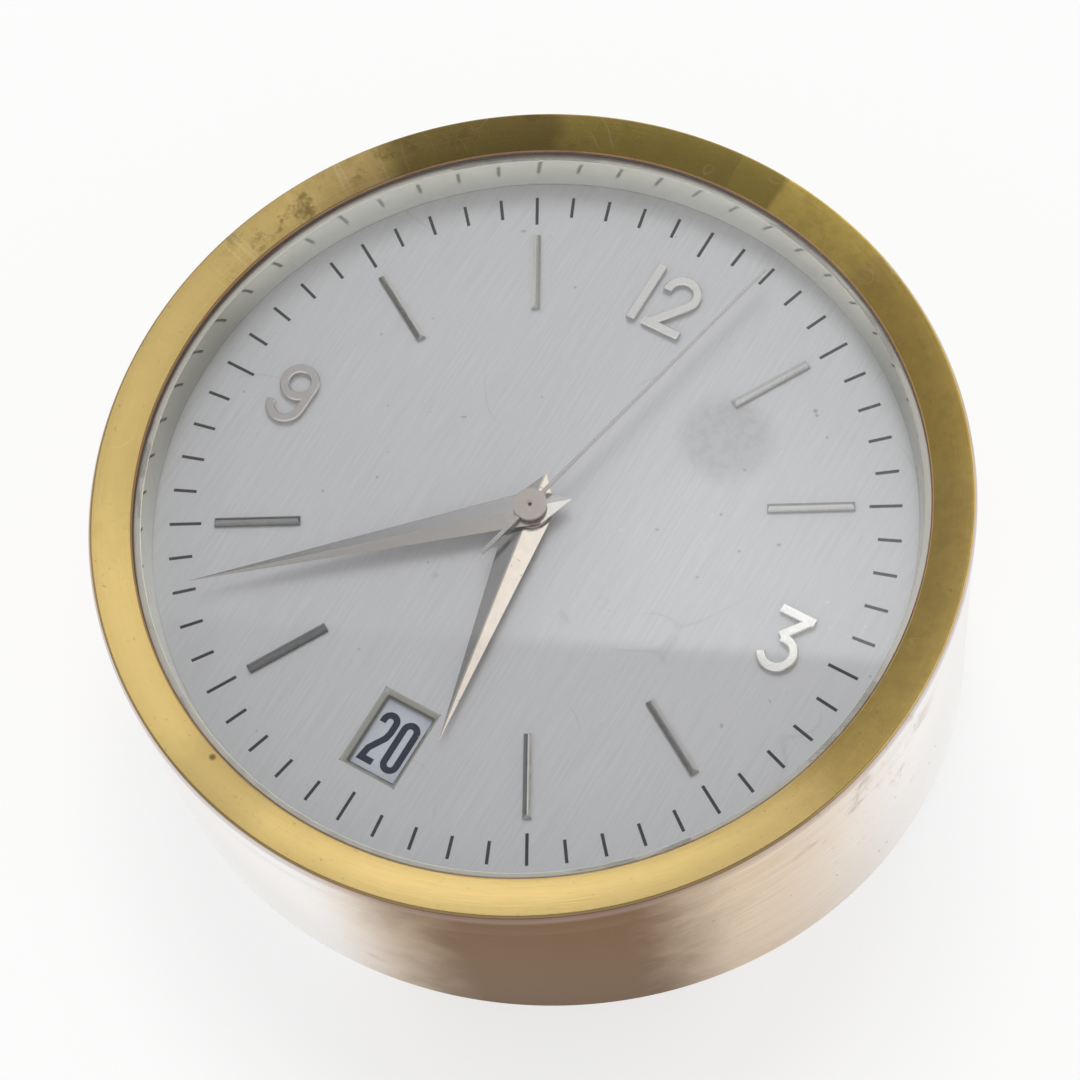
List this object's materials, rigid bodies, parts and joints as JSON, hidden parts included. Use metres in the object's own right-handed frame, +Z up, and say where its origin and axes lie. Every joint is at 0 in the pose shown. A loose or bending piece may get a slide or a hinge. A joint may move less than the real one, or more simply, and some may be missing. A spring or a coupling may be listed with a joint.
{
  "type": "desk clock with calendar",
  "caption": "Round desk clock in a slanted brass drum, with centre hands, applied bars and numerals, a date window and a battery movement.",
  "frame": {"origin": "on the desk, under the middle of the outline seen from above", "axes": "+Z up, -Y to the side the dial faces (six o'clock), +X to three o'clock"},
  "size_m": [0.12, 0.128, 0.0571],
  "materials": {
    "case_brass": "turned and brushed, lacquered",
    "bezel_brass": "turned, lacquered, tarnished in places",
    "flange_gilt": "polished",
    "glass": "clear",
    "silvered_dial": "fine vertical brushing",
    "dial_metal": "polished nickel",
    "hand_metal": "polished nickel",
    "date_white": "matt white with printed numbers",
    "movement_brass": "grained",
    "steel": "polished steel",
    "copper_wire": "enamelled copper winding",
    "base_paint": "black crackle lacquer",
    "felt": "green felt",
    "battery_jacket": "printed jacket",
    "tray_plastic": "moulded",
    "board": "phenolic board",
    "lead_cover": "insulated wire"
  },
  "bodies": {
    "root": {"base_cover": "base_paint", "base_screws": "steel", "battery": "battery_jacket", "battery_contacts": "steel", "battery_leads": "lead_cover", "battery_tray": "tray_plastic", "bezel_ring": "bezel_brass", "board_components": "board", "board_spacers": "movement_brass", "calendar_plate": "movement_brass", "case_drum": "case_brass", "circuit_board": "board", "coil_core": "steel", "crystal": "glass", "date_jumper": "steel", "date_window_frame": "dial_metal", "dial_plate": "silvered_dial", "dial_seat_ring": "movement_brass", "drive_coil": "copper_wire", "felt_ring": "felt", "flange_ring": "flange_gilt", "hairspring": "steel", "hatch_pin": "steel", "hour_bar_1": "dial_metal", "hour_bar_10": "dial_metal", "hour_bar_11": "dial_metal", "hour_bar_2": "dial_metal", "hour_bar_4": "dial_metal", "hour_bar_5": "dial_metal", "hour_bar_7": "dial_metal", "hour_bar_8": "dial_metal", "movement_back_plate": "movement_brass", "movement_front_plate": "movement_brass", "movement_straps": "steel", "numeral_12": "dial_metal", "numeral_3": "dial_metal", "numeral_9": "dial_metal", "pillar_screws": "steel", "plate_pillars": "movement_brass", "strap_screws": "steel"},
    "second_hand": {"second_hand": "hand_metal", "seconds_arbor": "steel"},
    "third_wheel": {"third_wheel": "movement_brass"},
    "centre_wheel": {"centre_wheel": "movement_brass"},
    "index_wheel": {"index_wheel": "movement_brass"},
    "minute_hand": {"minute_hand": "hand_metal", "cannon_pinion": "steel", "clutch_washer": "movement_brass"},
    "minute_wheel": {"minute_wheel": "movement_brass"},
    "hour_hand": {"hour_hand": "hand_metal", "hour_wheel": "movement_brass"},
    "date_wheel": {"date_wheel": "movement_brass", "date_finger": "steel"},
    "setting_knob": {"setting_stem": "steel", "setting_knob": "movement_brass"},
    "date_ring": {"date_ring": "date_white"},
    "balance": {"balance_wheel": "movement_brass", "balance_magnets": "steel"},
    "regulator": {"regulator_lever": "steel"},
    "battery_hatch": {"battery_hatch": "base_paint"}
  },
  "joints": [
    {"name": "second_hand_turn", "type": "hinge", "parent": "root", "child": "second_hand", "pos_m": [0, -0.00371, 0.03965], "axis": [0, 0.169, -0.9856], "continuous": true},
    {"name": "third_wheel_turn", "type": "hinge", "parent": "root", "child": "third_wheel", "pos_m": [-0.0106, 0.00232, 0.04069], "axis": [0, 0.169, -0.9856], "continuous": true},
    {"name": "centre_wheel_turn", "type": "hinge", "parent": "root", "child": "centre_wheel", "pos_m": [0, -0.00371, 0.03965], "axis": [0, 0.169, -0.9856], "continuous": true},
    {"name": "index_wheel_turn", "type": "hinge", "parent": "root", "child": "index_wheel", "pos_m": [0.0115, -0.00783, 0.03894], "axis": [0, 0.169, -0.9856], "continuous": true},
    {"name": "minute_hand_turn", "type": "hinge", "parent": "root", "child": "minute_hand", "pos_m": [0, -0.00371, 0.03965], "axis": [0, 0.169, -0.9856], "continuous": true},
    {"name": "minute_wheel_turn", "type": "hinge", "parent": "root", "child": "minute_wheel", "pos_m": [-0.01039, -0.00962, 0.03864], "axis": [0, 0.169, -0.9856], "continuous": true},
    {"name": "hour_hand_turn", "type": "hinge", "parent": "root", "child": "hour_hand", "pos_m": [0, -0.00371, 0.03965], "axis": [0, 0.169, -0.9856], "continuous": true},
    {"name": "date_wheel_turn", "type": "hinge", "parent": "root", "child": "date_wheel", "pos_m": [0.01403, -0.01169, 0.03828], "axis": [0, 0.169, -0.9856], "continuous": true, "deforming": ["date_finger"]},
    {"name": "setting_knob_turn", "type": "hinge", "parent": "root", "child": "setting_knob", "pos_m": [-0.02078, -0.01553, 0.03762], "axis": [0, 0.169, -0.9856], "continuous": true},
    {"name": "date_ring_turn", "type": "hinge", "parent": "root", "child": "date_ring", "pos_m": [0, -0.00371, 0.03965], "axis": [0, 0.169, -0.9856], "continuous": true, "deforming": ["date_jumper"]},
    {"name": "balance_swing", "type": "hinge", "parent": "root", "child": "balance", "pos_m": [0.01414, -0.02032, 0.0368], "axis": [0, 0.169, -0.9856], "range_deg": [-135, 135], "stiffness_Nm_per_rad": 0.00001, "deforming": ["hairspring"]},
    {"name": "regulator_turn", "type": "hinge", "parent": "root", "child": "regulator", "pos_m": [0.01414, -0.02032, 0.0368], "axis": [0, 0.169, -0.9856], "range_deg": [-20, 20]},
    {"name": "battery_hatch_hinge", "type": "hinge", "parent": "root", "child": "battery_hatch", "pos_m": [0, 0.02275, 0.0018], "axis": [-1, 0, 0], "range_deg": [0, 95]}
  ],
  "couplings": [
    {"joint": "third_wheel_turn", "follows": "second_hand_turn", "ratio": -0.13333},
    {"joint": "centre_wheel_turn", "follows": "second_hand_turn", "ratio": 0.016667},
    {"joint": "index_wheel_turn", "follows": "second_hand_turn", "ratio": -5},
    {"joint": "minute_wheel_turn", "follows": "minute_hand_turn", "ratio": -0.33333},
    {"joint": "hour_hand_turn", "follows": "minute_hand_turn", "ratio": 0.083333},
    {"joint": "date_wheel_turn", "follows": "minute_hand_turn", "ratio": -0.041667},
    {"joint": "setting_knob_turn", "follows": "minute_hand_turn", "ratio": 1}
  ]
}
